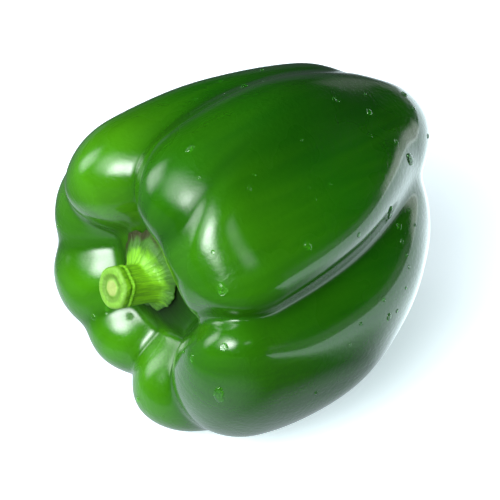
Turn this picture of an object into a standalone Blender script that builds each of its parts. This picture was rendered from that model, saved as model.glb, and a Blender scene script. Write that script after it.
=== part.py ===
"""Bell pepper lying on its side, stem end towards -X and tipped up a little. Metres, +Z up.

The fruit is one solid made of lobes. Each lobe is a long round-ended form whose centre line bows
outwards. Eight lobes and a core in the middle are joined by a smooth union, and the skin is where
rays from inside the fruit leave that union. The stalk is one piece with its calyx: a turned
profile with an uneven margin that follows the fruit's skin.

Places on the fruit are (h, u, v) in millimetres: h runs along its axis towards the stem, u and v
lie across it, v upwards. Angles turn clockwise from v, seen from the stem end.
"""

import math
from typing import NamedTuple

import bmesh
import bpy
import numpy as np

MM = 0.001


class Station(NamedTuple):
    """A cross section of a lobe, in millimetres and degrees."""

    height: float  # along the axis, towards the stem
    angle: float  # round the axis
    offset: float  # of the lobe's centre from the axis
    width: float  # half of it, round the axis
    depth: float  # half of it, out from the axis
    cap: float  # length of the round end past this section
    slant: float = 0.0  # how much higher the section sits for each millimetre round the axis
    fullness: float = 0.0  # how far the lobe's section is squarer than an ellipse, up to its last part


# Each lobe has a section at its shoulder, a belly half way (which needs no height and no cap) and
# one at its blossom end.
LOBES = {
    "top_front": (
        Station(22, 14, 28, 17, 16, 16),
        Station(0, 13, 27.5, 19, 19, 0),
        Station(-37, 16, 24.5, 16, 16, 18),
    ),
    "top_right": (
        Station(24, 46, 28, 18, 15, 17, 0.0, 2.5),
        Station(0, 36.5, 27.5, 21, 17, 0),
        Station(-37, 30, 27, 17, 15, 18),
    ),
    "right": (
        Station(25.5, 119, 31.5, 26, 16, 17, -0.24),
        Station(0, 112, 32, 25, 18.5, 0),
        Station(-34, 84, 25, 20, 14, 15),
    ),
    "bottom_right": (
        Station(22, 166, 32, 15.5, 15, 16),
        Station(0, 163, 28.7, 18, 18, 0),
        Station(-36, 158, 22.5, 16, 16, 17),
    ),
    "bottom_left": (
        Station(21, 206, 30.5, 14.5, 14, 15),
        Station(0, 202, 30, 17, 18, 0),
        Station(-36, 198, 22, 16, 16, 17),
    ),
    "left_low": (
        Station(21, 239, 29, 17, 16, 16),
        Station(0, 239, 25.5, 19, 18.5, 0),
        Station(-32, 238, 18, 17, 16, 18),
    ),
    "left_high": (
        Station(17, 276, 30, 17.5, 15, 16),
        Station(0, 280, 26, 17.5, 18, 0),
        Station(-32, 285, 19, 16, 16, 18),
    ),
    "top_left": (
        Station(20, 316, 27, 18, 15.5, 18),
        Station(0, 324, 24.5, 20, 18, 0),
        Station(-35, 340, 22, 18, 16, 18),
    ),
}
CORE_RADIUS = 25.0
CORE_TOP = 30.0
CORE_BOTTOM = -42.0
CORE_POWER = 3.0
CAP_POWER = 2.2
FULL_FROM = 0.6  # the share of a lobe's length, from its tip, past which its section is fully square

# How softly the lobes run into each other, at the fruit's ends and half way.
BLEND_AT_ENDS = 1.0
BLEND_AT_BELLY = 2.0
BLEND_REACH = 24.0

# The rays start on this line inside the flesh, (distance from the axis, height). Their direction
# turns from the stem pit outwards on the first share of rows, and on to the blossom tip on the last.
SHOULDER_ANCHOR = (26.0, 18.0)
BLOSSOM_ANCHOR = (16.0, -28.0)
SHOULDER_ROWS = 0.38
BLOSSOM_ROWS = 0.64
RAY_REACH = 50.0

# How the fruit lies: its axis tips up by PITCH towards the stem, and the two lobes that it lies on
# are pressed flat where they touch the ground.
PITCH = math.radians(6.0)
AXIS_FORWARD = -6.85
AXIS_SIDEWAYS = 2.03
AXIS_HEIGHT = 45.0

# The stalk. Its profile runs from the middle of the cut over the collar, down the stem and over the
# calyx's margin to the middle of the underside, (radius, height above the skin).
GAP = 0.4
STALK_PROFILE = (
    (0.0, 12.7), (3.2, 13.0), (4.8, 12.9), (5.2, 12.3),
    (5.15, 11.4), (4.9, 10.3), (5.2, 8.0), (6.0, 5.6),
    (7.5, 3.4), (9.4, 2.0), (11.6, 1.3), (12.3, 0.7),
    (11.6, 0.1), (9.0, 0.0), (4.5, 0.0), (0.0, 0.0),
)
CALYX_RADIUS = 12.3
STEM_RADIUS = 5.1
FLARE_HEIGHT = 5.6
MARGIN_SHIFT = 1.4
MARGIN_STRETCH = 0.9
MARGIN_TEETH = 0.5
TEETH = 7
STEM_RIDGES = 6
RIDGE_HEIGHT = 0.15
LEAN_SIDEWAYS = -0.09
LEAN_UP = 0.27
UNDER_CALYX_START = 12.0

POD_AROUND = 84
POD_ALONG = 46
STALK_AROUND = 42
STALK_ALONG = 32

POD_GREEN = (0.05, 0.19, 0.015, 1.0)
STALK_GREEN = (0.30, 0.45, 0.07, 1.0)


def lobe_depth(place, shoulder, belly, tip):
    """How far outside one lobe a place is, in millimetres; below 0 inside it."""
    h, u, v = place
    share = np.clip((h - tip.height) / (shoulder.height - tip.height), -0.4, 1.4)
    inside = np.clip(share, 0, 1)
    bow = 4 * inside * (1 - inside) - 4 * np.abs(share - inside)
    angle, offset, width, depth = (
        low + (high - low) * share + (mid - (low + high) / 2) * bow
        for low, mid, high in zip(tip[1:5], belly[1:5], shoulder[1:5])
    )
    angle = np.radians(angle)
    out = u * np.sin(angle) + v * np.cos(angle) - offset
    across = u * np.cos(angle) - v * np.sin(angle)
    past_shoulder = (h - shoulder.height - shoulder.slant * across) / shoulder.cap
    past = np.maximum(np.maximum(past_shoulder, (tip.height - h) / tip.cap), 0)
    spread = np.clip(share / FULL_FROM, 0, 1)
    power = 2 + shoulder.fullness * spread * spread * (3 - 2 * spread)
    section = np.abs(out / depth) ** power + np.abs(across / width) ** power
    reach = (section ** (CAP_POWER / power) + past ** CAP_POWER) ** (1 / CAP_POWER)
    return (reach - 1) * np.minimum(depth, width)


def core_depth(place):
    """How far outside the core a place is, in millimetres; below 0 inside it."""
    h, u, v = place
    middle = (CORE_TOP + CORE_BOTTOM) / 2
    half = (CORE_TOP - CORE_BOTTOM) / 2
    across = (np.hypot(u, v) / CORE_RADIUS) ** CORE_POWER
    along = np.abs((h - middle) / half) ** CORE_POWER
    return ((across + along) ** (1 / CORE_POWER) - 1) * CORE_RADIUS


def fruit_depth(place):
    """How far outside the fruit a place is: the smooth union of the core and the lobes."""
    blend = BLEND_AT_ENDS + (BLEND_AT_BELLY - BLEND_AT_ENDS) * np.exp(-((place[0] / BLEND_REACH) ** 2))
    total = np.exp(-core_depth(place) / blend)
    for stations in LOBES.values():
        total = total + np.exp(-lobe_depth(place, *stations) / blend)
    return -blend * np.log(total)


def skin_distance(start, direction, steps=50, halvings=16):
    """How far each ray runs, from a start inside the fruit, before it leaves it."""

    def outside(distance):
        return fruit_depth([s + d * distance for s, d in zip(start, direction)]) > 0

    shape = np.broadcast(*start, *direction).shape
    near = np.zeros(shape)
    far = np.full(shape, RAY_REACH)
    found = np.zeros(shape, bool)
    for step in range(1, steps + 1):
        distance = np.full(shape, RAY_REACH * step / steps)
        new = outside(distance) & ~found
        far[new] = distance[new]
        near[new] = distance[new] - RAY_REACH / steps
        found |= new
    for _ in range(halvings):
        middle = (near + far) / 2
        out = outside(middle)
        far = np.where(out, middle, far)
        near = np.where(out, near, middle)
    return (near + far) / 2


def axis_end(sign):
    """The height at which the skin crosses the axis, at the stem pit (1) or the blossom tip (-1)."""
    none = np.zeros(1)
    return sign * skin_distance((none, none, none), (none + sign, none, none))[0]


def skin(turn, share):
    """Places on the skin: turn goes round the axis, share from the stem pit (0) to the blossom tip (1)."""
    to_pit = math.atan2(axis_end(1) - SHOULDER_ANCHOR[1], -SHOULDER_ANCHOR[0])
    to_tip = math.atan2(axis_end(-1) - BLOSSOM_ANCHOR[1], -BLOSSOM_ANCHOR[0])
    shoulder = np.clip(share / SHOULDER_ROWS, 0, 1)
    side = np.clip((share - SHOULDER_ROWS) / (BLOSSOM_ROWS - SHOULDER_ROWS), 0, 1)
    blossom = np.clip((share - BLOSSOM_ROWS) / (1 - BLOSSOM_ROWS), 0, 1)
    tilt = to_pit * (1 - shoulder) + to_tip * blossom
    radius = SHOULDER_ANCHOR[0] + (BLOSSOM_ANCHOR[0] - SHOULDER_ANCHOR[0]) * side
    height = SHOULDER_ANCHOR[1] + (BLOSSOM_ANCHOR[1] - SHOULDER_ANCHOR[1]) * side
    start = (height, radius * np.sin(turn), radius * np.cos(turn))
    direction = (np.sin(tilt), np.cos(tilt) * np.sin(turn), np.cos(tilt) * np.cos(turn))
    distance = skin_distance(start, direction)
    return [s + d * distance for s, d in zip(start, direction)]


def skin_height(u, v):
    """The skin's height in the stem pit, under the calyx."""
    none = np.zeros(np.broadcast(u, v).shape)
    return UNDER_CALYX_START + skin_distance((none + UNDER_CALYX_START, u, v), (none + 1, none, none))


def smooth_profile(points, share):
    """Places along a smooth curve through the points (a Catmull-Rom spline)."""
    points = np.array(points)
    padded = np.vstack([2 * points[0] - points[1], points, 2 * points[-1] - points[-2]])
    place = share * (len(points) - 1)
    first = np.minimum(place.astype(int), len(points) - 2)
    step = (place - first)[:, None]
    a, b, c, d = (padded[first + k] for k in range(4))
    return 0.5 * (2 * b + (c - a) * step + (2 * a - 5 * b + 4 * c - d) * step ** 2
                  + (3 * b - 3 * c + d - a) * step ** 3)


def stalk(turn, share):
    """Places on the stalk: share runs from the middle of the cut to the middle of the underside."""
    radius, height = smooth_profile(STALK_PROFILE, share).T
    radius = np.maximum(radius, 0)
    height = np.maximum(height, 0)
    outer = np.clip((radius - STEM_RADIUS) / (CALYX_RADIUS - STEM_RADIUS), 0, 1)
    low = height < FLARE_HEIGHT
    margin = (MARGIN_SHIFT * np.cos(turn) + MARGIN_STRETCH * np.cos(2 * turn)
              + MARGIN_TEETH * np.cos(TEETH * turn))
    ridges = RIDGE_HEIGHT * np.cos(STEM_RIDGES * turn) * np.clip(radius / STEM_RADIUS, 0, 1)
    radius = radius + margin * outer * low + ridges * (1 - outer)
    u = radius * np.sin(turn)
    v = radius * np.cos(turn)
    drape = outer * (3 * outer - 2 * outer ** 2)
    under = np.where(height > 0, drape, 1.0)
    base = axis_end(1)
    h = base + GAP + height + (skin_height(u, v) - base) * under * low
    return h, u + LEAN_SIDEWAYS * height, v + LEAN_UP * height


def upright():
    """The upward direction in the fruit's own frame, which is tipped by PITCH."""
    return np.array([-math.sin(PITCH), 0.0, math.cos(PITCH)])


def pressed_flat(points):
    """Points below the ground moved up to it."""
    below = np.minimum(points @ upright() + AXIS_HEIGHT, 0)
    return points - below[:, None] * upright()


def ball_mesh(name, around, along, place):
    """A mesh from a UV sphere whose every vertex is moved to place(turn, share), given in (h, u, v)."""
    body = bmesh.new()
    bmesh.ops.create_uvsphere(body, u_segments=around, v_segments=along, radius=1.0)
    ball = np.array([vertex.co for vertex in body.verts])
    turn = np.arctan2(ball[:, 0], ball[:, 1])
    share = np.arccos(np.clip(ball[:, 2], -1, 1)) / math.pi
    h, u, v = place(turn, share)
    points = pressed_flat(np.stack([-h, -u, v], axis=1)) * MM
    for vertex, point in zip(body.verts, points):
        vertex.co = point
    mesh = bpy.data.meshes.new(name)
    body.to_mesh(mesh)
    body.free()
    mesh.shade_smooth()
    return mesh


def plain_material(name, colour, roughness):
    material = bpy.data.materials.new(name)
    material.use_nodes = True
    shader = material.node_tree.nodes["Principled BSDF"]
    shader.inputs["Base Color"].default_value = colour
    shader.inputs["Roughness"].default_value = roughness
    shader.inputs["Metallic"].default_value = 0.0
    return material


def add_object(name, mesh, material, collection, parent):
    mesh.materials.append(material)
    made = bpy.data.objects.new(name, mesh)
    made.parent = parent
    collection.objects.link(made)
    return made


def main():
    for old in list(bpy.data.objects):
        bpy.data.objects.remove(old)
    collection = bpy.data.collections.new("bell_pepper")
    bpy.context.scene.collection.children.link(collection)
    axis = bpy.data.objects.new("fruit_axis", None)
    axis.location = (AXIS_FORWARD * MM, AXIS_SIDEWAYS * MM, AXIS_HEIGHT * MM)
    axis.rotation_euler = (0, PITCH, 0)
    collection.objects.link(axis)
    pod_mesh = ball_mesh("pod", POD_AROUND, POD_ALONG, skin)
    add_object("pod", pod_mesh, plain_material("pepper_skin", POD_GREEN, 0.2), collection, axis)
    stalk_mesh = ball_mesh("stalk", STALK_AROUND, STALK_ALONG, stalk)
    add_object("stalk", stalk_mesh, plain_material("stalk_green", STALK_GREEN, 0.5), collection, axis)


main()
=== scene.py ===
# %% [markdown]
# # A green bell pepper with drops of water on it
# This lesson makes one fruit and its stalk. Nearly every shape is a surface worked out with numpy: a
# function takes two numbers for each point of a grid and gives back where that point lies. The
# finishes are made of shader nodes alone, with no pictures.
#
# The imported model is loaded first. It gives the size and the place that the detailed pieces keep to.

import math

import bpy
import numpy as np
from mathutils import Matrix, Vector
from mathutils.bvhtree import BVHTree


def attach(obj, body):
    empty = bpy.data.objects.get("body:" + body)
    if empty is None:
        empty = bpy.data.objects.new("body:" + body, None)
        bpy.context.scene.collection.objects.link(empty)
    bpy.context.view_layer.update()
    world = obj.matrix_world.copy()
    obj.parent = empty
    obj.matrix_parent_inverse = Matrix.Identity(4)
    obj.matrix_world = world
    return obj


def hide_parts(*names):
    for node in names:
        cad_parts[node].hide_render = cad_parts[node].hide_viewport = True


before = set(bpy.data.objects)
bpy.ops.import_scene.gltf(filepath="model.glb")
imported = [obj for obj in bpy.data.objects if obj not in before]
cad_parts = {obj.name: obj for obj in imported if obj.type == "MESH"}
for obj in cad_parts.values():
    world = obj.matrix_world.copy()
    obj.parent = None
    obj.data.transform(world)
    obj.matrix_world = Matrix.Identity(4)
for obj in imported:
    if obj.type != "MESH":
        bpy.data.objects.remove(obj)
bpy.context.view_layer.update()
MM = 0.001
print("nodes:", sorted(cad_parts))

# %% [markdown]
# ## The camera
# A camera could be placed by hand, but a direction, a distance and a point to look at are easier to
# keep and to change. The fruit was photographed from its stalk's side, from about 40 degrees above.
# A long lens, well back, keeps the near and the far lobes about equally large.

# %% The camera
AIM = Vector((-0.00405, -0.00087, 0.0410))
CAMERA_AZIMUTH = -45.6
CAMERA_ELEVATION = 39.4
CAMERA_DISTANCE = 0.42
CAMERA_LENS = 111.9


def direction(azimuth, elevation):
    """A unit vector: azimuth 0 points to -Y and 90 to +X, elevation is the angle above the ground."""
    turn = math.radians(azimuth)
    rise = math.radians(elevation)
    return Vector((math.sin(turn) * math.cos(rise), -math.cos(turn) * math.cos(rise), math.sin(rise)))


def place_towards(name, data, azimuth, elevation, distance):
    """A new object at a distance from AIM in a direction, turned so that its -Z points at AIM."""
    made = bpy.data.objects.new(name, data)
    bpy.context.scene.collection.objects.link(made)
    back = direction(azimuth, elevation)
    made.location = AIM + back * distance
    made.rotation_mode = "QUATERNION"
    made.rotation_quaternion = (-back).to_track_quat("-Z", "Y")
    return made


lens = bpy.data.cameras.new("camera")
lens.lens = CAMERA_LENS
lens.sensor_width = 36
camera = place_towards("camera", lens, CAMERA_AZIMUTH, CAMERA_ELEVATION, CAMERA_DISTANCE)
bpy.context.scene.camera = camera
print("camera at", [round(value, 3) for value in camera.location])

# %% [markdown]
# ## Node helpers
# Materials are trees of nodes. Making each node takes a few lines in Blender, so short helpers keep
# the finishes readable: the first makes a node and fills or links its sockets, and the others name
# the steps that come up most.

# %% Node helpers


def node(tree, kind, sockets=None, **settings):
    """A new node. A socket given another node's output is linked to it, and any other value is set."""
    made = tree.nodes.new(kind)
    for key, value in settings.items():
        setattr(made, key, value)
    for key, value in (sockets or {}).items():
        if isinstance(value, bpy.types.NodeSocket):
            tree.links.new(value, made.inputs[key])
        else:
            made.inputs[key].default_value = value
    return made


def maths(tree, operation, *values):
    """The result of one step of arithmetic on two values."""
    return node(tree, "ShaderNodeMath", dict(enumerate(values)), operation=operation).outputs[0]


def fade(tree, value, low, high, start=0.0, end=1.0):
    """A smooth change from start to end while the value goes from low to high."""
    sockets = {0: value, 1: low, 2: high, 3: start, 4: end}
    return node(tree, "ShaderNodeMapRange", sockets, interpolation_type="SMOOTHSTEP").outputs[0]


def blend_colours(tree, share, first, second):
    """The first colour where the share is 0 and the second where it is 1."""
    return node(tree, "ShaderNodeMix", {0: share, 6: first, 7: second}, data_type="RGBA").outputs[2]


def attribute(tree, name, output="Fac"):
    """A value that the mesh keeps for each of its points."""
    return node(tree, "ShaderNodeAttribute", attribute_name=name).outputs[output]


def new_material(name):
    """A material, its node tree and its Principled shader."""
    material = bpy.data.materials.new(name)
    material.use_nodes = True
    return material, material.node_tree, material.node_tree.nodes["Principled BSDF"]


print("node helpers are ready")

# %% [markdown]
# ## Floor and light
# The fruit lies on a plain white table under soft light. A large soft box with a brighter lamp in it
# hangs at the left, a lower one stands further round towards the back and a small, faint one hangs in
# front. Their mirror images are the pale windows on the shoulders. Pale walls stand at the right.
#
# The room is left dark, as a bright one would veil the glossy green with grey. For that reason too
# the light from the ceiling, which softens the shadow, isn't mirrored. The table is plain white to
# the camera alone: what the fruit mirrors of it is bright at the right, where the light falls, and
# close to the fruit, and dim further out. A table lit by lamps alone would be simpler, but then the
# whole lower half of the fruit would mirror it as grey.

# %% Floor
FLOOR_SIZE = 6.0
FLOOR_WHITE = (0.90, 0.95, 1.0, 1.0)
FLOOR_GLOW = 0.60
FLOOR_GLOW_COLOUR = (0.80, 0.93, 1.0, 1.0)
MIRRORED_COLOUR = (0.80, 0.95, 1.0, 1.0)
# Level directions out from the middle of the table, named as the camera sees them.
BEHIND_RIGHT = (0.985, 0.174, 0.0)
BEFORE_RIGHT = (0.342, -0.940, 0.0)
LEFT = (-0.906, 0.423, 0.0)
# How brightly the fruit mirrors each part of the table.
GLOW_AT_RIGHT = 2.2
GLOW_AT_LEFT = 0.10
GLOW_CLOSE_AT_LEFT = 0.75
GLOW_CLOSE = 0.48
GLOW_EVERYWHERE = 0.06
# Where each part begins and ends, in metres along its direction or from the middle.
BEHIND_RIGHT_EDGE = (-0.01, 0.05)
BEFORE_RIGHT_EDGE = (-0.07, 0.01)
LEFT_EDGE = (0.0, 0.05)
CLOSE_AT_LEFT_EDGE = (0.085, 0.130)
CLOSE_EDGE = (0.055, 0.085)


def flat_sheet(name, size):
    """A level square of four points round the origin."""
    half = size / 2
    corners = [(-half, -half, 0), (half, -half, 0), (half, half, 0), (-half, half, 0)]
    mesh = bpy.data.meshes.new(name)
    mesh.from_pydata(corners, [], [(0, 1, 2, 3)])
    return mesh


def table_material():
    """White to the camera. To all other rays it glows: bright at the right of the fruit and close
    round it, dim further out at the left and nearly dark elsewhere."""
    material, tree, shader = new_material("white_table")
    shader.inputs["Base Color"].default_value = FLOOR_WHITE
    shader.inputs["Roughness"].default_value = 0.6
    shader.inputs["Specular IOR Level"].default_value = 0.1
    shader.inputs["Emission Color"].default_value = FLOOR_GLOW_COLOUR
    shader.inputs["Emission Strength"].default_value = FLOOR_GLOW
    place = node(tree, "ShaderNodeTexCoord").outputs["Object"]

    def far_along(way):
        product = node(tree, "ShaderNodeVectorMath", {0: place, 1: way}, operation="DOT_PRODUCT")
        return product.outputs["Value"]

    from_middle = node(tree, "ShaderNodeVectorMath", {0: place}, operation="LENGTH").outputs["Value"]
    right = fade(tree, far_along(BEHIND_RIGHT), *BEHIND_RIGHT_EDGE, 0.0, GLOW_AT_RIGHT)
    right = maths(tree, "MULTIPLY", right, fade(tree, far_along(BEFORE_RIGHT), *BEFORE_RIGHT_EDGE))
    left = fade(tree, from_middle, *CLOSE_AT_LEFT_EDGE, GLOW_CLOSE_AT_LEFT, GLOW_AT_LEFT)
    left = maths(tree, "MULTIPLY", left, fade(tree, far_along(LEFT), *LEFT_EDGE))
    close = fade(tree, from_middle, *CLOSE_EDGE, GLOW_CLOSE, 0.0)
    bright = maths(tree, "MAXIMUM", right, maths(tree, "MAXIMUM", close, left))
    strength = maths(tree, "ADD", bright, GLOW_EVERYWHERE)
    glow = node(tree, "ShaderNodeEmission", {"Color": MIRRORED_COLOUR, "Strength": strength})
    seen = node(tree, "ShaderNodeLightPath").outputs["Is Camera Ray"]
    either = node(tree, "ShaderNodeMixShader", {0: seen, 1: glow.outputs[0], 2: shader.outputs[0]})
    tree.links.new(either.outputs[0], tree.nodes["Material Output"].inputs["Surface"])
    return material


floor = bpy.data.objects.new("floor", flat_sheet("floor", FLOOR_SIZE))
bpy.context.scene.collection.objects.link(floor)
floor.data.materials.append(table_material())
print("floor side in m:", FLOOR_SIZE)

# %% Lights
LIGHTS = {
    # name: azimuth, elevation, distance, width, height, watts, softness of the edge
    "soft_box_left": (-88, 46, 0.80, 1.34, 0.80, 19.0, 0.9),
    "lamp_in_soft_box": (-71, 41, 0.80, 0.72, 0.56, 20.0, 0.9),
    "soft_box_back": (-150, 23, 0.90, 0.62, 0.74, 7.0, 0.8),
    "soft_box_front": (-8, 40, 0.90, 0.40, 0.22, 0.6, 0.9),
    "white_wall": (67, 3, 1.00, 0.44, 0.46, 1.3, 0.6),
    "grey_wall": (38, 5, 1.00, 0.70, 0.42, 0.4, 0.6),
    "far_wall": (108, 4, 1.00, 0.60, 0.34, 0.15, 0.6),
    "ceiling": (150, 68, 0.90, 0.80, 0.80, 3.2, 0.9),
}
NOT_MIRRORED = ("ceiling",)
LAMP_COLOUR = (0.94, 1.0, 0.98)
ROOM_COLOUR = (0.95, 0.98, 1.0, 1.0)
ROOM_LIGHT = 0.012


def soften_edges(data, softness):
    """Lets a lamp's light fall off towards its edges. Parametric runs from 0 to 1 along each side."""
    data.use_nodes = True
    tree = data.node_tree
    place = node(tree, "ShaderNodeNewGeometry").outputs["Parametric"]
    centred = node(tree, "ShaderNodeVectorMath", {0: place, 1: (0.5, 0.5, 0.0)}, operation="SUBTRACT")
    parts = node(tree, "ShaderNodeSeparateXYZ", {0: centred.outputs[0]}).outputs
    from_centre = [maths(tree, "ABSOLUTE", part) for part in parts[:2]]
    sides = [fade(tree, away, 0.5 - softness / 2, 0.5, 1.0, 0.0) for away in from_centre]
    tree.links.new(maths(tree, "MULTIPLY", *sides), tree.nodes["Emission"].inputs["Strength"])


for name, (azimuth, elevation, distance, width, height, watts, softness) in LIGHTS.items():
    data = bpy.data.lights.new(name, "AREA")
    data.shape = "RECTANGLE"
    data.size = width
    data.size_y = height
    data.energy = watts
    data.color = LAMP_COLOUR
    soften_edges(data, softness)
    lamp = place_towards(name, data, azimuth, elevation, distance)
    lamp.visible_glossy = name not in NOT_MIRRORED

world = bpy.data.worlds.new("room")
world.use_nodes = True
background = world.node_tree.nodes["Background"]
background.inputs["Color"].default_value = ROOM_COLOUR
background.inputs["Strength"].default_value = ROOM_LIGHT
bpy.context.scene.world = world
bpy.context.scene.view_settings.view_transform = "Standard"
print("lights:", list(LIGHTS))

# %% [markdown]
# ## The fruit's form
# A bell pepper is a hollow berry. Its chambers swell outwards between the walls that divide them, so
# the skin is a bundle of lobes with creases between. It could be sculpted, but then nothing about it
# could be changed later. Here each lobe is a formula, and a smooth union joins eight of them to a
# core. A point is given as (h, u, v) in millimetres: h along the fruit's axis towards the stalk, u
# across and v upwards.

# %% The lobes
# Each lobe has three stations, at its shoulder, half way and at its blossom end. A station is
# (height, angle, offset, half width, half depth, length of the round end), in millimetres and degrees.
LOBES = {
    "top_front": ((22, 14, 28, 17, 16, 16), (0, 13, 27.5, 19, 19, 0), (-37, 16, 24.5, 16, 16, 18)),
    "top_right": ((24, 46, 28, 18, 15, 17), (0, 36.5, 27.5, 21, 17, 0), (-37, 30, 27, 17, 15, 18)),
    "right": ((25.5, 119, 31.5, 26, 16, 17), (0, 112, 32, 25, 18.5, 0), (-34, 84, 25, 20, 14, 15)),
    "bottom_right": ((22, 166, 32, 15.5, 15, 16), (0, 163, 28.7, 18, 18, 0), (-36, 158, 22.5, 16, 16, 17)),
    "bottom_left": ((21, 206, 30.5, 14.5, 14, 15), (0, 202, 30, 17, 18, 0), (-36, 198, 22, 16, 16, 17)),
    "left_low": ((21, 239, 29, 17, 16, 16), (0, 239, 25.5, 19, 18.5, 0), (-32, 238, 18, 17, 16, 18)),
    "left_high": ((17, 276, 30, 17.5, 15, 16), (0, 280, 26, 17.5, 18, 0), (-32, 285, 19, 16, 16, 18)),
    "top_left": ((20, 316, 27, 18, 15.5, 18), (0, 324, 24.5, 20, 18, 0), (-35, 340, 22, 18, 16, 18)),
}
SHOULDER_SLANT = {"right": -0.24}
FULLNESS = {"top_right": 2.5}
FULL_FROM = 0.6
CORE_RADIUS = 25.0
CORE_MIDDLE = -6.0
CORE_HALF = 36.0
CORE_POWER = 3.0
CAP_POWER = 2.2
BLEND_AT_ENDS = 1.0
BLEND_AT_BELLY = 2.0
BLEND_REACH = 24.0


def lobe_depth(place, name):
    """How far outside one lobe a place is. The lobe's section is an ellipse whose angle, offset and
    size follow a parabola through the three stations. A full lobe's section is squarer: the power of
    its two sums grows from 2 at the tip. A rounded cap closes each end."""
    h, u, v = place
    shoulder, belly, tip = LOBES[name]
    slant = SHOULDER_SLANT.get(name, 0.0)
    share = np.clip((h - tip[0]) / (shoulder[0] - tip[0]), -0.4, 1.4)
    spread = np.clip(share / FULL_FROM, 0, 1)
    power = 2 + FULLNESS.get(name, 0.0) * spread * spread * (3 - 2 * spread)
    inside = np.clip(share, 0, 1)
    bow = 4 * inside * (1 - inside) - 4 * np.abs(share - inside)
    angle, offset, width, depth = (
        low + (high - low) * share + (middle - (low + high) / 2) * bow
        for low, middle, high in zip(tip[1:5], belly[1:5], shoulder[1:5])
    )
    angle = np.radians(angle)
    out = u * np.sin(angle) + v * np.cos(angle) - offset
    across = u * np.cos(angle) - v * np.sin(angle)
    past_shoulder = (h - shoulder[0] - slant * across) / shoulder[5]
    past = np.maximum(np.maximum(past_shoulder, (tip[0] - h) / tip[5]), 0)
    section = np.abs(out / depth) ** power + np.abs(across / width) ** power
    reach = (section ** (CAP_POWER / power) + past ** CAP_POWER) ** (1 / CAP_POWER)
    return (reach - 1) * np.minimum(depth, width)


def core_depth(place):
    """How far outside the core a place is: a round-edged drum about the axis."""
    h, u, v = place
    across = (np.hypot(u, v) / CORE_RADIUS) ** CORE_POWER
    along = np.abs((h - CORE_MIDDLE) / CORE_HALF) ** CORE_POWER
    return ((across + along) ** (1 / CORE_POWER) - 1) * CORE_RADIUS


def fruit_depth(place):
    """How far outside the fruit a place is. The union is smooth: minus the blend times the logarithm
    of the sum of exp(-depth / blend) over the core and the lobes."""
    blend = BLEND_AT_ENDS + (BLEND_AT_BELLY - BLEND_AT_ENDS) * np.exp(-((place[0] / BLEND_REACH) ** 2))
    total = np.exp(-core_depth(place) / blend)
    for name in LOBES:
        total = total + np.exp(-lobe_depth(place, name) / blend)
    return -blend * np.log(total)


print("lobes:", len(LOBES))

# %% [markdown]
# ## From the formula to a skin
# The formula says how deep a place lies, but a mesh needs the places where the depth is nought. Rays
# start on a short line inside the flesh, and each is followed outwards until it leaves the fruit. The
# directions turn from the pit at the stalk over the shoulders, along the sides and round to the
# blossom end, so the rows of the grid run round the fruit and its columns run along it.

# %% Rays to the skin
RAY_REACH = 50.0
RAY_STEPS = 25
RAY_HALVINGS = 14
SHOULDER_ANCHOR = (26.0, 18.0)
BLOSSOM_ANCHOR = (16.0, -28.0)
SHOULDER_ROWS = 0.38
BLOSSOM_ROWS = 0.64


def ray_length(start, ray):
    """How far each ray runs before it leaves the fruit. Equal steps find the first one that lies
    outside, and halving then closes in on the skin."""

    def outside(length):
        return fruit_depth([s + r * length for s, r in zip(start, ray)]) > 0

    shape = np.broadcast(*start, *ray).shape
    near = np.zeros(shape)
    far = np.full(shape, RAY_REACH)
    found = np.zeros(shape, bool)
    for step in range(1, RAY_STEPS + 1):
        length = np.full(shape, RAY_REACH * step / RAY_STEPS)
        new = outside(length) & ~found
        far[new] = length[new]
        near[new] = length[new] - RAY_REACH / RAY_STEPS
        found |= new
    for _ in range(RAY_HALVINGS):
        middle = (near + far) / 2
        out = outside(middle)
        far = np.where(out, middle, far)
        near = np.where(out, near, middle)
    return (near + far) / 2


def axis_end(sign):
    """The height at which the skin crosses the axis: in the stalk's pit (1) or at the blossom (-1)."""
    none = np.zeros(1)
    return sign * ray_length((none, none, none), (none + sign, none, none))[0]


PIT_FLOOR = axis_end(1)
BLOSSOM_TIP = axis_end(-1)


def skin(turn, share):
    """Places on the skin. Turn goes round the axis, and share runs from the stalk's pit, 0, to the
    blossom tip, 1. Each place is where a ray from the anchor line leaves the fruit."""
    to_pit = math.atan2(PIT_FLOOR - SHOULDER_ANCHOR[1], -SHOULDER_ANCHOR[0])
    to_tip = math.atan2(BLOSSOM_TIP - BLOSSOM_ANCHOR[1], -BLOSSOM_ANCHOR[0])
    shoulder = np.clip(share / SHOULDER_ROWS, 0, 1)
    side = np.clip((share - SHOULDER_ROWS) / (BLOSSOM_ROWS - SHOULDER_ROWS), 0, 1)
    blossom = np.clip((share - BLOSSOM_ROWS) / (1 - BLOSSOM_ROWS), 0, 1)
    tilt = to_pit * (1 - shoulder) + to_tip * blossom
    radius = SHOULDER_ANCHOR[0] + (BLOSSOM_ANCHOR[0] - SHOULDER_ANCHOR[0]) * side
    height = SHOULDER_ANCHOR[1] + (BLOSSOM_ANCHOR[1] - SHOULDER_ANCHOR[1]) * side
    start = (height, radius * np.sin(turn), radius * np.cos(turn))
    ray = (np.sin(tilt), np.cos(tilt) * np.sin(turn), np.cos(tilt) * np.cos(turn))
    length = ray_length(start, ray)
    return [s + r * length for s, r in zip(start, ray)]


def skin_height(u, v):
    """The height of the pit's floor under the calyx, found by rays that run along the axis."""
    none = np.zeros(np.broadcast(u, v).shape)
    start = 12.0
    return start + ray_length((none + start, u, v), (none + 1, none, none))


print("pit floor and blossom tip in mm:", round(PIT_FLOOR, 1), round(BLOSSOM_TIP, 1))

# %% [markdown]
# ## Grids that close into a body
# A UV sphere is the usual start for such a body, but here the grid itself is the body: rings of
# points, a single point at either end, four-sided faces between the rings and a fan of triangles at
# each pole. The last column is joined to the first, so there is no seam in the mesh.

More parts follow.
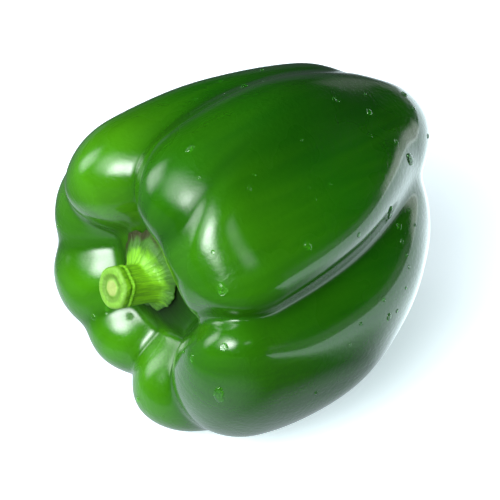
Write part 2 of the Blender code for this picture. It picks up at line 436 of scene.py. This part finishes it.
# %% Closed grids
PITCH = math.radians(6.0)
AXIS_PLACE = np.array((-6.85, 2.03, 45.0))


def to_world(h, u, v):
    """Metres from (h, u, v) millimetres: the axis points to -X, tipped up by PITCH at the stalk, and
    the lobes that the fruit lies on are pressed flat at the ground."""
    x = -h * math.cos(PITCH) + v * math.sin(PITCH)
    z = h * math.sin(PITCH) + v * math.cos(PITCH)
    points = np.stack([x, -u, z], axis=-1) + AXIS_PLACE
    points[..., 2] = np.maximum(points[..., 2], 0)
    return points * MM


def body_faces(rings, around):
    """Faces of a body whose points are: first pole, rings one after another, last pole."""
    row, column = np.meshgrid(np.arange(rings - 1), np.arange(around), indexing="ij")
    after = (column + 1) % around
    first = 1 + row * around
    quads = np.stack([first + column, first + after, first + around + after, first + around + column], -1)
    step = np.arange(around)
    following = (step + 1) % around
    last = 1 + (rings - 1) * around
    start_fan = np.stack([np.zeros(around, int), 1 + following, 1 + step], -1)
    end_fan = np.stack([np.full(around, last + around), last + step, last + following], -1)
    return start_fan.tolist() + quads.reshape(-1, 4).tolist() + end_fan.tolist()


def body_mesh(name, start, rings, end, values):
    """A closed mesh from a pole, rings of points (rings, around, 3) and a pole, with smooth shading.
    Values are arrays shaped like the rings, kept as attributes; a pole takes its ring's mean."""
    count, around = rings.shape[:2]
    points = np.vstack([start[None], rings.reshape(-1, 3), end[None]])
    mesh = bpy.data.meshes.new(name)
    mesh.from_pydata(points.tolist(), [], body_faces(count, around))
    mesh.shade_smooth()
    for label, value in values.items():
        wide = value.ndim == 3
        kind = "FLOAT_VECTOR" if wide else "FLOAT"
        flat = value.reshape(count * around, -1)
        full = np.vstack([value[0].mean(0).reshape(1, -1), flat, value[-1].mean(0).reshape(1, -1)])
        kept = mesh.attributes.new(label, kind, "POINT")
        kept.data.foreach_set("vector" if wide else "value", full.astype(np.float32).ravel())
    return mesh


def outward(rings):
    """Unit normals of a grid of rings: the cross product of its slopes along and around."""
    along = np.gradient(rings, axis=0)
    around = np.roll(rings, -1, axis=1) - np.roll(rings, 1, axis=1)
    normal = np.cross(around, along)
    return normal / np.maximum(np.linalg.norm(normal, axis=-1, keepdims=True), 1e-12)


def volume_of(mesh):
    """The signed volume in cubic centimetres; it is above nought when the faces point outwards."""
    mesh.calc_loop_triangles()
    corners = np.zeros(len(mesh.vertices) * 3)
    mesh.vertices.foreach_get("co", corners)
    triangles = np.zeros(len(mesh.loop_triangles) * 3, int)
    mesh.loop_triangles.foreach_get("vertices", triangles)
    a, b, c = corners.reshape(-1, 3)[triangles.reshape(-1, 3)].transpose(1, 0, 2)
    return float(np.einsum("ij,ij->i", a, np.cross(b, c)).sum() / 6 * 1e6)


# %% [markdown]
# ## Small relief
# A pepper's skin is never quite even. Shallow waves run along it, and they are what breaks the mirror
# image of a lamp into soft pieces. They are a sum of many faint sine waves in directions drawn from a
# seeded generator, so the fruit comes out the same each time. Noise could do the same, but a sum of
# sines is smooth at every scale and leaves no kinks for a mirror image to show.

# %% Relief
WAVE_SEED = 11
WAVE_COUNT = 26
WAVE_LONGEST = 30.0
WAVE_SHORTEST = 9.0
WAVE_HEIGHT = 0.15
WAVE_STRETCH = 0.55


def waves(place):
    """Faint waves in millimetres: a sum of sines, each with a height in proportion to its length."""
    luck = np.random.default_rng(WAVE_SEED)
    heading = luck.normal(size=(WAVE_COUNT, 3))
    heading /= np.linalg.norm(heading, axis=1, keepdims=True)
    length = luck.uniform(WAVE_SHORTEST, WAVE_LONGEST, WAVE_COUNT)
    start = luck.uniform(0, 2 * math.pi, WAVE_COUNT)
    h, u, v = place
    stretched = np.stack([h * WAVE_STRETCH, u, v], axis=-1)
    phase = stretched @ (heading * (2 * math.pi / length)[:, None]).T + start
    return (np.sin(phase) * (length / WAVE_LONGEST)).sum(-1) * WAVE_HEIGHT / math.sqrt(WAVE_COUNT / 4)


print("waves:", WAVE_COUNT)

# %% [markdown]
# ## The pod
# The skin is worked out on a fine grid. Beside its shape the mesh keeps a few values for the finish:
# which lobe a point belongs to, how near it is to a crease, how near to the stalk, and a direction
# along the fruit, called grain, for the streaks to follow.

# %% The pod's skin
POD_AROUND = 384
POD_RINGS = 248
# How pale each lobe's green is: partly the fruit's own colour and partly painted light and shade. The
# lobes that face the lamps are paler, and those turned from them are a deeper green.
LOBE_PALENESS_AND_SHADE = {
    "top_front": 0.16, "top_right": 0.36, "right": 0.24, "bottom_right": 0.95,
    "bottom_left": 0.75, "left_low": 0.70, "left_high": 0.70, "top_left": 0.95,
}
LOBE_REACH = 2.0
CREASE_WIDTH = 3.0
PIT_RADIUS = 20.5
PIT_STEEPNESS = 1.6
PIT_END = 0.4
SCAR_RADIUS = 1.9
BLOSSOM_END_AT = -50.0
STALK_END_AT = 40.0
GRAIN_ALONG = 0.5


def ring_parameters(rings, around):
    """Turn and share of each grid point. The poles, share 0 and 1, aren't among them."""
    share = np.arange(1, rings + 1)[:, None] / (rings + 1)
    turn = np.arange(around)[None, :] * 2 * math.pi / around
    return np.broadcast_arrays(turn, share)


def lobe_values(place):
    """How pale a place's lobe is, and how near it lies to a crease. Each lobe counts by the power of
    e to minus its depth over LOBE_REACH; in a crease the two nearest lobes are equally near."""
    depths = np.stack([lobe_depth(place, name) for name in LOBES])
    nearness = np.exp(-(depths - depths.min(0)) / LOBE_REACH)
    pale = np.tensordot(np.array([LOBE_PALENESS_AND_SHADE[name] for name in LOBES]), nearness, 1) / nearness.sum(0)
    two = np.sort(depths, axis=0)[:2]
    return pale, np.exp(-(two[1] - two[0]) / CREASE_WIDTH)


def make_pod():
    """The skin's mesh: places on the skin, moved out and in by the waves, which fade at both poles."""
    turn, share = ring_parameters(POD_RINGS, POD_AROUND)
    place = skin(turn, share)
    rings = to_world(*place)
    normals = outward(rings)
    middle = rings.reshape(-1, 3).mean(0)
    if (normals * (rings - middle)).sum() < 0:
        normals = -normals
    evenly = np.sin(math.pi * share) ** 0.5
    rings = rings + normals * (waves(place) * evenly * MM)[..., None]
    rings[..., 2] = np.maximum(rings[..., 2], 0)
    pale, crease = lobe_values(place)
    from_axis = np.hypot(place[1], place[2])
    pit = np.clip(PIT_STEEPNESS - from_axis / PIT_RADIUS * PIT_STEEPNESS, 0, 1)
    values = {
        "pale": pale,
        "crease": crease,
        "stalkward": np.clip((place[0] - BLOSSOM_END_AT) / (STALK_END_AT - BLOSSOM_END_AT), 0, 1),
        "pit": pit * (share < PIT_END),
        "scar": np.exp(-((from_axis / SCAR_RADIUS) ** 4)) * (share > 0.5),
        "grain": np.stack([np.sin(turn), np.cos(turn), share * GRAIN_ALONG], -1),
    }
    poles = [to_world(*np.array((height, 0.0, 0.0))) for height in (PIT_FLOOR, BLOSSOM_TIP)]
    mesh = body_mesh("pod_skin", poles[0], rings, poles[1], values)
    if volume_of(mesh) < 0:
        mesh.flip_normals()
    return mesh


pod_mesh = make_pod()
pod = bpy.data.objects.new("pod_skin", pod_mesh)
bpy.context.scene.collection.objects.link(pod)
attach(pod, "root")
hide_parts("pod")
print("pod: faces", len(pod_mesh.polygons), "volume in cm3", round(volume_of(pod_mesh), 1))

# %% [markdown]
# ## The stalk
# The stem was cut with a knife and swells a little at the cut. Below, it widens into the calyx, the
# green star that the flower's leaves left, which lies on the fruit like a shallow dish. Both have
# grown as one, so they are one surface: a profile turned round the axis, with ribs along the stem, an
# uneven margin and a lean.

# %% The stalk's surface
STALK_GAP = 0.4
STALK_PROFILE = (
    (0.0, 12.75), (1.6, 12.85), (2.6, 12.6), (3.6, 12.95),
    (4.7, 12.95), (5.25, 12.4), (5.3, 11.4), (5.05, 10.6),
    (5.35, 9.9), (5.15, 9.1), (5.1, 7.4), (5.15, 5.6),
    (5.4, 3.6), (6.4, 2.0), (9.2, 1.1), (12.0, 0.7),
    (11.6, 0.1), (9.0, 0.0), (4.5, 0.0), (0.0, 0.0),
)
CALYX_RADIUS = 12.0
STEM_RADIUS = 5.4
FLARE_WIDTH = 3.0
# Heights above the calyx's underside, in millimetres, between which a change takes place.
FLARE_STARTS = (0.3, 1.5)
FLARE_ENDS = (0.5, 5.5)
CALYX_ENDS = (1.2, 2.4)
STEM_TURNS = (2.0, 8.0)
RIBS_FADE = (11.1, 12.6)
FLARE_TURN = math.radians(-30)
LEAN_SIDEWAYS = -0.09
LEAN_UP = 0.27
LOWER_SIDE_SHORTER = 0.62
VEINS = 7
VEIN_HEIGHT = 0.25
VEIN_RISE = 0.5
CUT_END = 0.27
# Height in millimetres, count round the axis and start angle of each wave.
RIBS = ((0.16, 6, 0.0), (0.10, 5, 0.9), (0.05, 17, 0.4))
RIBS_AT_CUT = 0.4
MARGIN = ((1.4, 1, 0.0), (0.9, 2, 0.0), (0.55, 7, 0.0), (0.35, 11, 1.3), (0.22, 23, 0.5))
STALK_GRAIN_ALONG = 0.6
STALK_AROUND = 240
STALK_RINGS = 200


def smooth_profile(points, share):
    """Places along a smooth curve through the points (a Catmull-Rom spline)."""
    points = np.array(points)
    padded = np.vstack([2 * points[0] - points[1], points, 2 * points[-1] - points[-2]])
    place = share * (len(points) - 1)
    first = np.minimum(place.astype(int), len(points) - 2)
    step = (place - first)[..., None]
    a, b, c, d = (padded[first + k] for k in range(4))
    curve = 2 * b + (c - a) * step + (2 * a - 5 * b + 4 * c - d) * step ** 2
    return 0.5 * (curve + (3 * b - 3 * c + d - a) * step ** 3)


def soft_step(value, low, high):
    """0 below low, 1 above high and smooth in between."""
    share = np.clip((value - low) / (high - low), 0, 1)
    return share * share * (3 - 2 * share)


def waves_round(turn, parts):
    """The sum, in millimetres, of sine waves that go round the axis a whole number of times."""
    return sum(height * np.cos(count * turn + start) for height, count, start in parts)


def stem_ribs(turn, height):
    """Ribs along the stem in millimetres. They grow fainter towards the cut."""
    low, high = RIBS_FADE
    below_cut = np.clip((high - height) / (high - low), 0, 1)
    return waves_round(turn, RIBS) * (RIBS_AT_CUT + (1 - RIBS_AT_CUT) * below_cut)


def stalk(turn, share):
    """Places on the stalk. Share runs from the middle of the cut to the middle of the underside. The
    stem leans, and its rings turn until they stand square to it, so that the cut does too. It widens
    downwards on its upper side alone. The calyx reaches less far on the lower side, and its margin is
    a circle that is shifted, stretched and toothed."""
    profile = smooth_profile(STALK_PROFILE, share)
    radius = np.maximum(profile[..., 0], 0)
    height = np.maximum(profile[..., 1], 0)
    upper_side = 0.5 + 0.5 * np.cos(turn - FLARE_TURN)
    radius = radius - np.maximum(radius - STEM_RADIUS, 0) * LOWER_SIDE_SHORTER * (1 - upper_side)
    outer = np.clip((radius - STEM_RADIUS) / (CALYX_RADIUS - STEM_RADIUS), 0, 1)
    flare = FLARE_WIDTH * upper_side ** 3 * (1 - soft_step(height, *FLARE_ENDS))
    radius = radius + flare * (1 - outer) * soft_step(height, *FLARE_STARTS)
    low = 1 - soft_step(height, *CALYX_ENDS)
    ribs = stem_ribs(turn, height) * np.clip(radius / STEM_RADIUS, 0, 1)
    radius = radius + waves_round(turn, MARGIN) * outer * low + ribs * (1 - outer)
    u = radius * np.sin(turn)
    v = radius * np.cos(turn)
    drape = outer * (3 * outer - 2 * outer ** 2)
    under = np.where(height > 0, drape, 1.0)
    half_way = outer * (1 - outer) * 4
    veins = VEIN_HEIGHT * np.cos(VEINS * turn) * half_way * np.clip(height / VEIN_RISE, 0, 1)
    square = soft_step(height, *STEM_TURNS) * (LEAN_UP * v + LEAN_SIDEWAYS * u)
    h = PIT_FLOOR + STALK_GAP + height + veins - square + (skin_height(u, v) - PIT_FLOOR) * under * low
    return (h, u + LEAN_SIDEWAYS * height, v + LEAN_UP * height), outer


def make_stalk():
    """The stalk's mesh, with how far out a point lies in the cut and in the calyx."""
    turn, share = ring_parameters(STALK_RINGS, STALK_AROUND)
    place, outer = stalk(turn, share)
    rings = to_world(*place)
    profile = smooth_profile(STALK_PROFILE, share)
    values = {
        "cut_radius": profile[..., 0] / STEM_RADIUS,
        "on_cut": (share < CUT_END) * 1.0,
        "outer": outer,
        "grain": np.stack([np.sin(turn), np.cos(turn), share * STALK_GRAIN_ALONG], -1),
    }
    mesh = body_mesh("stem_and_calyx", rings[0].mean(0), rings, rings[-1].mean(0), values)
    if volume_of(mesh) < 0:
        mesh.flip_normals()
    return mesh


stalk_mesh = make_stalk()
stem = bpy.data.objects.new("stem_and_calyx", stalk_mesh)
bpy.context.scene.collection.objects.link(stem)
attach(stem, "root")
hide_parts("stalk")
print("stalk: faces", len(stalk_mesh.polygons), "volume in cm3", round(volume_of(stalk_mesh), 2))

# %% [markdown]
# ## Shared effects
# Skin and stalk both have streaks that run the way they grew, soft blotches and fine pores. Each
# effect is a node group, built once and placed in both materials with its own numbers. The streaks
# are noise on the grain attribute, which goes round with the fruit and hardly changes along it, so
# the noise is drawn out into lines that close up at the poles.

# %% Shader groups


def shader_group(name, wanted, given):
    """An empty node group with float inputs and their starting values, and float outputs."""
    group = bpy.data.node_groups.new(name, "ShaderNodeTree")
    for label, value in wanted.items():
        socket = group.interface.new_socket(name=label, in_out="INPUT", socket_type="NodeSocketFloat")
        socket.default_value = value
    for label in given:
        group.interface.new_socket(name=label, in_out="OUTPUT", socket_type="NodeSocketFloat")
    return group, node(group, "NodeGroupInput").outputs, node(group, "NodeGroupOutput").inputs


def use_group(tree, group, **values):
    """A group placed in a material with its own values; it gives back the group's outputs."""
    placed = node(tree, "ShaderNodeGroup", node_tree=group)
    for label, value in values.items():
        placed.inputs[label].default_value = value
    return placed.outputs


def build_streaks():
    """Light and dark lines along the growth: noise of the grain, spread between two thresholds."""
    wanted = {"Scale": 6.0, "Softness": 0.2}
    group, wanted, given = shader_group("growth_streaks", wanted, ["Mask", "Height"])
    noise = node(group, "ShaderNodeTexNoise", {
        "Vector": attribute(group, "grain", "Vector"), "Scale": wanted["Scale"],
        "Detail": 3.0, "Roughness": 0.55,
    })
    low = maths(group, "SUBTRACT", 0.5, wanted["Softness"])
    high = maths(group, "ADD", 0.5, wanted["Softness"])
    group.links.new(fade(group, noise.outputs[0], low, high), given["Mask"])
    group.links.new(noise.outputs[0], given["Height"])
    return group


def build_blotches():
    """Broad soft patches, from noise in the object's own coordinates."""
    group, wanted, given = shader_group("soft_blotches", {"Scale": 60.0, "Softness": 0.2}, ["Mask"])
    place = node(group, "ShaderNodeTexCoord").outputs["Object"]
    noise = node(group, "ShaderNodeTexNoise", {
        "Vector": place, "Scale": wanted["Scale"], "Detail": 2.0, "Roughness": 0.5,
    })
    low = maths(group, "SUBTRACT", 0.5, wanted["Softness"])
    high = maths(group, "ADD", 0.5, wanted["Softness"])
    group.links.new(fade(group, noise.outputs[0], low, high), given["Mask"])
    return group


def build_pores():
    """Fine unevenness for a Bump node: small cells over a slower swell."""
    group, wanted, given = shader_group("fine_pores", {"Scale": 1400.0, "Swell": 0.5}, ["Height"])
    place = node(group, "ShaderNodeTexCoord").outputs["Object"]
    fine = node(group, "ShaderNodeTexNoise", {"Vector": place, "Scale": wanted["Scale"], "Detail": 2.0})
    slow_scale = maths(group, "MULTIPLY", wanted["Scale"], 0.12)
    slow = node(group, "ShaderNodeTexNoise", {"Vector": place, "Scale": slow_scale, "Detail": 1.0})
    swell = maths(group, "MULTIPLY", slow.outputs[0], wanted["Swell"])
    group.links.new(maths(group, "ADD", fine.outputs[0], swell), given["Height"])
    return group


growth_streaks = build_streaks()
soft_blotches = build_blotches()
fine_pores = build_pores()
print("groups:", [group.name for group in bpy.data.node_groups])

# %% [markdown]
# ## The skin's finish
# A ripe green pepper is deep green where the sun reached it and yellow-green on the shoulders near
# the stalk. Each lobe is given its own paleness, partly the fruit's own colour and partly painted
# light and shade: the lobes that face the lamps are paler and those turned from them deeper green.
# The creases and the stalk's pit are darkened as painted shade. Over the colour lies a hard, clear
# wax layer, the cuticle. So the base is a saturated green with a fairly blurred gloss, and the
# shader's coat stands for the cuticle with a sharper one.

# %% The skin's material
DEEP_GREEN = (0.003, 0.046, 0.001, 1.0)
LEAF_GREEN = (0.013, 0.145, 0.001, 1.0)
YOUNG_GREEN = (0.075, 0.310, 0.004, 1.0)
PIT_SHADE = (0.006, 0.022, 0.002, 1.0)
SCAR_BROWN = (0.16, 0.11, 0.045, 1.0)


def skin_material():
    """Greens by place, lobe, streak, blotch and crease, under a coat that leaves out the stalk's pit."""
    material, tree, shader = new_material("pepper_skin")
    stalkward = attribute(tree, "stalkward")
    # The lobe's paleness is partly painted light and shade: lobes turned from the lamps get deeper green.
    pale = attribute(tree, "pale")
    leafy = fade(tree, stalkward, 0.05, 0.70)
    leafy = maths(tree, "MULTIPLY", leafy, fade(tree, pale, 0.0, 1.0, 0.45, 1.0))
    colour = blend_colours(tree, leafy, DEEP_GREEN, LEAF_GREEN)
    young = maths(tree, "MULTIPLY", fade(tree, stalkward, 0.52, 0.96), pale)
    colour = blend_colours(tree, young, colour, YOUNG_GREEN)
    broad = use_group(tree, growth_streaks, Scale=2.6, Softness=0.16)["Mask"]
    colour = blend_colours(tree, maths(tree, "MULTIPLY", broad, 0.30), colour, DEEP_GREEN)
    narrow = use_group(tree, growth_streaks, Scale=14.0, Softness=0.22)
    colour = blend_colours(tree, maths(tree, "MULTIPLY", narrow["Mask"], 0.10), colour, YOUNG_GREEN)
    blotches = use_group(tree, soft_blotches, Scale=55.0, Softness=0.18)["Mask"]
    colour = blend_colours(tree, maths(tree, "MULTIPLY", blotches, 0.18), colour, LEAF_GREEN)
    # Painted shade: near a crease the green is darkened towards deep green.
    crease = maths(tree, "MULTIPLY", attribute(tree, "crease"), 0.55)
    colour = blend_colours(tree, crease, colour, DEEP_GREEN)
    # Painted shade: the stalk's pit, where the stalk and the lobes cast shadow, is darkened.
    colour = blend_colours(tree, attribute(tree, "pit"), colour, PIT_SHADE)
    colour = blend_colours(tree, attribute(tree, "scar"), colour, SCAR_BROWN)
    tree.links.new(colour, shader.inputs["Base Color"])
    dull = fade(tree, blotches, 0.0, 1.0, 0.24, 0.32)
    worn = maths(tree, "MAXIMUM", attribute(tree, "scar"), attribute(tree, "pit"))
    dull = maths(tree, "ADD", dull, maths(tree, "MULTIPLY", worn, 0.4))
    tree.links.new(dull, shader.inputs["Roughness"])
    pores = use_group(tree, fine_pores, Scale=800.0, Swell=0.0)["Height"]
    height = maths(tree, "ADD", pores, narrow["Height"])
    bump = node(tree, "ShaderNodeBump", {"Strength": 0.45, "Distance": 0.0004, "Height": height})
    tree.links.new(bump.outputs[0], shader.inputs["Normal"])
    clean = fade(tree, attribute(tree, "pit"), 0.0, 0.6, 1.0, 0.05)
    tree.links.new(clean, shader.inputs["Coat Weight"])
    # The coat mirrors the lamps sharply, so the skin under it hardly mirrors anything.
    shader.inputs["Coat Roughness"].default_value = 0.11
    shader.inputs["Specular IOR Level"].default_value = 0.10
    return material


pod_mesh.materials.append(skin_material())
print("skin's nodes:", len(pod_mesh.materials[0].node_tree.nodes))

# %% [markdown]
# ## The stalk's finish
# Stem and calyx are duller and yellower than the skin, with pale ribs. On the cut there are rings:
# a pale rim, a greener ring of bark, the wood and the pale pith in the middle. The calyx's thin
# margin has dried and gone brown.

# %% The stalk's material
CALYX_GREEN = (0.040, 0.150, 0.006, 1.0)
STEM_GREEN = (0.21, 0.56, 0.010, 1.0)
STEM_SHADE = (0.09, 0.30, 0.006, 1.0)
CUT_PALE = (0.20, 0.46, 0.04, 1.0)
CUT_RING = (0.13, 0.30, 0.022, 1.0)
PITH = (0.38, 0.50, 0.13, 1.0)
DRIED = (0.030, 0.036, 0.006, 1.0)


def stalk_material():
    """Streaked green on the stem, rings on the cut, and a darker calyx with a dried margin."""
    material, tree, shader = new_material("stalk_green")
    streaks = use_group(tree, growth_streaks, Scale=9.0, Softness=0.15)["Mask"]
    colour = blend_colours(tree, maths(tree, "MULTIPLY", streaks, 0.6), STEM_GREEN, STEM_SHADE)
    radius = attribute(tree, "cut_radius")
    ring = fade(tree, radius, 0.36, 0.46)
    ring = maths(tree, "MULTIPLY", ring, fade(tree, radius, 0.60, 0.72, 1.0, 0.0))
    cut = blend_colours(tree, ring, CUT_PALE, CUT_RING)
    cut = blend_colours(tree, fade(tree, radius, 0.42, 0.30), cut, PITH)
    colour = blend_colours(tree, attribute(tree, "on_cut"), colour, cut)
    outer = attribute(tree, "outer")
    ragged = use_group(tree, soft_blotches, Scale=420.0, Softness=0.25)["Mask"]
    edge = maths(tree, "ADD", outer, maths(tree, "MULTIPLY", ragged, 0.22))
    colour = blend_colours(tree, fade(tree, edge, 0.15, 0.55), colour, CALYX_GREEN)
    colour = blend_colours(tree, fade(tree, edge, 0.68, 0.98), colour, DRIED)
    tree.links.new(colour, shader.inputs["Base Color"])
    tree.links.new(fade(tree, streaks, 0.0, 1.0, 0.42, 0.58), shader.inputs["Roughness"])
    pores = use_group(tree, fine_pores, Scale=2200.0, Swell=1.0)["Height"]
    height = maths(tree, "ADD", pores, maths(tree, "MULTIPLY", streaks, 1.5))
    bump = node(tree, "ShaderNodeBump", {"Strength": 0.35, "Distance": 0.0004, "Height": height})
    tree.links.new(bump.outputs[0], shader.inputs["Normal"])
    return material


stalk_mesh.materials.append(stalk_material())
print("stalk's nodes:", len(stalk_mesh.materials[0].node_tree.nodes))

# %% [markdown]
# ## Drops of water
# The fruit was sprinkled with water, and the drops that stayed are small, flat domes. Each drop that
# the camera sees is placed by its pixel: a ray runs from the camera through that pixel until it meets
# the skin, so the drop sits on the fruit seen from any side. On the far side, drops are strewn by a
# seeded generator. All are one mesh, and each is a closed body whose underside is sunk a little into
# the skin.

# %% Places of the drops
IMAGE_SIZE = 500
# Pixel across, pixel down, radius in mm, length over width.
SEEN_DROPS = (
    (190, 149, 0.9, 1.5), (254, 175, 0.45, 1.0), (249, 188, 0.65, 1.3), (302, 140, 0.4, 1.0),
    (309, 187, 0.4, 1.2), (331, 184, 0.45, 1.0), (316, 199, 0.35, 1.0), (308, 246, 0.95, 1.4),
    (359, 235, 0.6, 1.0), (222, 289, 1.25, 1.4), (213, 252, 0.5, 1.0), (224, 347, 1.0, 1.0),
    (192, 358, 0.7, 1.3), (184, 352, 0.5, 1.0), (219, 395, 1.5, 1.8), (316, 393, 0.6, 1.0),
    (361, 324, 0.55, 1.0), (389, 317, 0.8, 1.3), (397, 311, 0.5, 1.0), (94, 317, 0.9, 1.2),
    (103, 359, 0.8, 1.0), (138, 399, 0.7, 1.0), (58, 226, 0.6, 1.0), (369, 112, 0.9, 1.2),
    (334, 99, 0.6, 1.0), (338, 101, 0.5, 1.0), (365, 94, 0.4, 1.0), (404, 94, 0.9, 1.2),
    (413, 108, 0.8, 1.0), (428, 136, 0.7, 1.0), (410, 159, 1.3, 1.5), (396, 142, 0.7, 1.3),
    (390, 213, 1.2, 1.8), (399, 226, 0.8, 1.2), (407, 255, 0.5, 1.0), (409, 267, 0.5, 1.0),
    (415, 225, 0.5, 1.0), (371, 136, 0.4, 1.0), (196, 99, 0.45, 1.0), (221, 81, 0.6, 1.0),
    (262, 70, 0.6, 1.0), (199, 178, 0.45, 1.0), (244, 86, 0.8, 2.0), (107, 309, 0.5, 3.2),
    (402, 241, 0.6, 1.0), (384, 300, 0.5, 1.0), (350, 345, 0.45, 1.0), (406, 288, 0.45, 1.0),
)
FAR_DROPS = 70
FAR_DROPS_SEED = 5
# Far drops lie above a height in metres, on faces turned from the camera that don't hang over much.
LOWEST_DROP = 0.012
TURNED_AWAY = -0.05
HANGING_OVER = -0.6
# Radius in mm, and length over width less one. The powers make most drops small and round.
SMALLEST_RADIUS = 0.35
RADIUS_RANGE = 0.9
RADIUS_POWER = 2.5
STRETCH_RANGE = 0.5
STRETCH_POWER = 2


def pixel_ray(across, down):
    """The unit direction from the camera through a pixel of the square image."""
    per_pixel = camera.data.sensor_width / camera.data.lens / IMAGE_SIZE
    ray = Vector(((across - IMAGE_SIZE / 2) * per_pixel, (IMAGE_SIZE / 2 - down) * per_pixel, -1))
    return (camera.rotation_quaternion @ ray).normalized()


def seen_places(tree):
    """Where the rays through the chosen pixels meet the skin, its normal there, radius and stretch."""
    found = []
    for across, down, radius, stretch in SEEN_DROPS:
        place, normal, _, _ = tree.ray_cast(camera.location, pixel_ray(across, down))
        if place is None:
            print("no skin at pixel", across, down)
            continue
        found.append((*place, *normal, radius, stretch))
    return np.array(found)


def far_places(mesh):
    """Seeded places on faces that are turned away from the camera and lie off the ground."""
    luck = np.random.default_rng(FAR_DROPS_SEED)
    count = len(mesh.polygons)
    centres = np.zeros(count * 3)
    normals = np.zeros(count * 3)
    areas = np.zeros(count)
    mesh.polygons.foreach_get("center", centres)
    mesh.polygons.foreach_get("normal", normals)
    mesh.polygons.foreach_get("area", areas)
    centres = centres.reshape(-1, 3)
    normals = normals.reshape(-1, 3)
    back = np.array(direction(CAMERA_AZIMUTH, CAMERA_ELEVATION))
    areas = areas * (normals @ back < TURNED_AWAY)
    areas = areas * (centres[:, 2] > LOWEST_DROP) * (normals[:, 2] > HANGING_OVER)
    chosen = luck.choice(count, FAR_DROPS, replace=False, p=areas / areas.sum())
    radius = SMALLEST_RADIUS + RADIUS_RANGE * luck.random(FAR_DROPS) ** RADIUS_POWER
    stretch = 1 + STRETCH_RANGE * luck.random(FAR_DROPS) ** STRETCH_POWER
    return np.hstack([centres[chosen], normals[chosen], radius[:, None], stretch[:, None]])


corners = [vertex.co for vertex in pod_mesh.vertices]
skin_tree = BVHTree.FromPolygons(corners, [face.vertices for face in pod_mesh.polygons])
drop_places = np.vstack([seen_places(skin_tree), far_places(pod_mesh)])
print("drops:", len(drop_places))

# %% The drops' mesh
DROP_AROUND = 20
DROP_RINGS = 7
DROP_HEIGHT = 0.52
DROP_RIM = 0.98
DROP_SUNK = 0.12
DROP_SEED = 3
DROP_WAVES = (0.07, 0.05)


def drop_frames(normals):
    """Two unit directions along the skin for each drop: down the slope, and level across it."""
    down = normals * normals[:, 2:] - np.array((0.0, 0.0, 1.0))
    down /= np.maximum(np.linalg.norm(down, axis=1, keepdims=True), 1e-9)
    return down, np.cross(normals, down)


def make_drops(places):
    """Domes in one mesh. A dome's section is a quarter of an ellipse, its outline is a circle drawn out
    down the slope with two faint waves, and below its rim it goes straight down into the skin."""
    luck = np.random.default_rng(DROP_SEED)
    centres, normals, radius, stretch = places[:, :3], places[:, 3:6], places[:, 6] * MM, places[:, 7]
    down, level = drop_frames(normals)
    angle = np.arange(DROP_AROUND) * 2 * math.pi / DROP_AROUND
    start = luck.uniform(0, 2 * math.pi, (len(places), 2, 1))
    oval, triangle = DROP_WAVES
    outline = 1 + oval * np.cos(2 * angle + start[:, 0]) + triangle * np.cos(3 * angle + start[:, 1])
    step = np.arange(1, DROP_RINGS) / (DROP_RINGS - 1) * math.pi / 2
    out = np.append(np.sin(step), DROP_RIM)
    high = np.append(np.cos(step) * DROP_HEIGHT, 0.0)
    reach = radius[:, None, None] * out[None, :, None] * outline[:, None, :]
    rise = (radius[:, None] * high[None, :])[:, :, None] * np.ones(DROP_AROUND)
    rise[:, -1] = -DROP_SUNK * MM
    along = reach * np.cos(angle) * stretch[:, None, None]
    across = reach * np.sin(angle)
    rings = (centres[:, None, None] + along[..., None] * down[:, None, None]
             + across[..., None] * level[:, None, None] + rise[..., None] * normals[:, None, None])
    top = centres + normals * (radius * DROP_HEIGHT)[:, None]
    bottom = centres - normals * DROP_SUNK * MM
    each = np.concatenate([top[:, None], rings.reshape(len(places), -1, 3), bottom[:, None]], axis=1)
    one = body_faces(DROP_RINGS, DROP_AROUND)
    faces = [[corner + k * each.shape[1] for corner in face] for k in range(len(places)) for face in one]
    mesh = bpy.data.meshes.new("water_drops")
    mesh.from_pydata(each.reshape(-1, 3).tolist(), [], faces)
    mesh.shade_smooth()
    if volume_of(mesh) < 0:
        mesh.flip_normals()
    return mesh


drops_mesh = make_drops(drop_places)
drops = bpy.data.objects.new("water_drops", drops_mesh)
bpy.context.scene.collection.objects.link(drops)
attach(drops, "root")
# A real drop gathers light on the skin below it. A renderer shades it instead, so the shadow is off.
drops.visible_shadow = False
print("drops' faces:", len(drops_mesh.polygons), "water in mm3:", round(volume_of(drops_mesh) * 1000, 1))

# %% [markdown]
# ## Water
# Water has no colour at this size. It shows by its mirror image of the lamps and by how it bends what
# lies beneath, so the shader is clear glass with the bending power of water and a very smooth face.

# %% The water's material
WATER_TINT = (0.97, 1.0, 0.98, 1.0)
WATER_IOR = 1.33


def water_material():
    """Clear, smooth glass that bends light as water does."""
    material, _, shader = new_material("clear_water")
    shader.inputs["Base Color"].default_value = WATER_TINT
    shader.inputs["Roughness"].default_value = 0.02
    shader.inputs["IOR"].default_value = WATER_IOR
    shader.inputs["Transmission Weight"].default_value = 1.0
    return material


drops_mesh.materials.append(water_material())
print("water's material:", drops_mesh.materials[0].name)
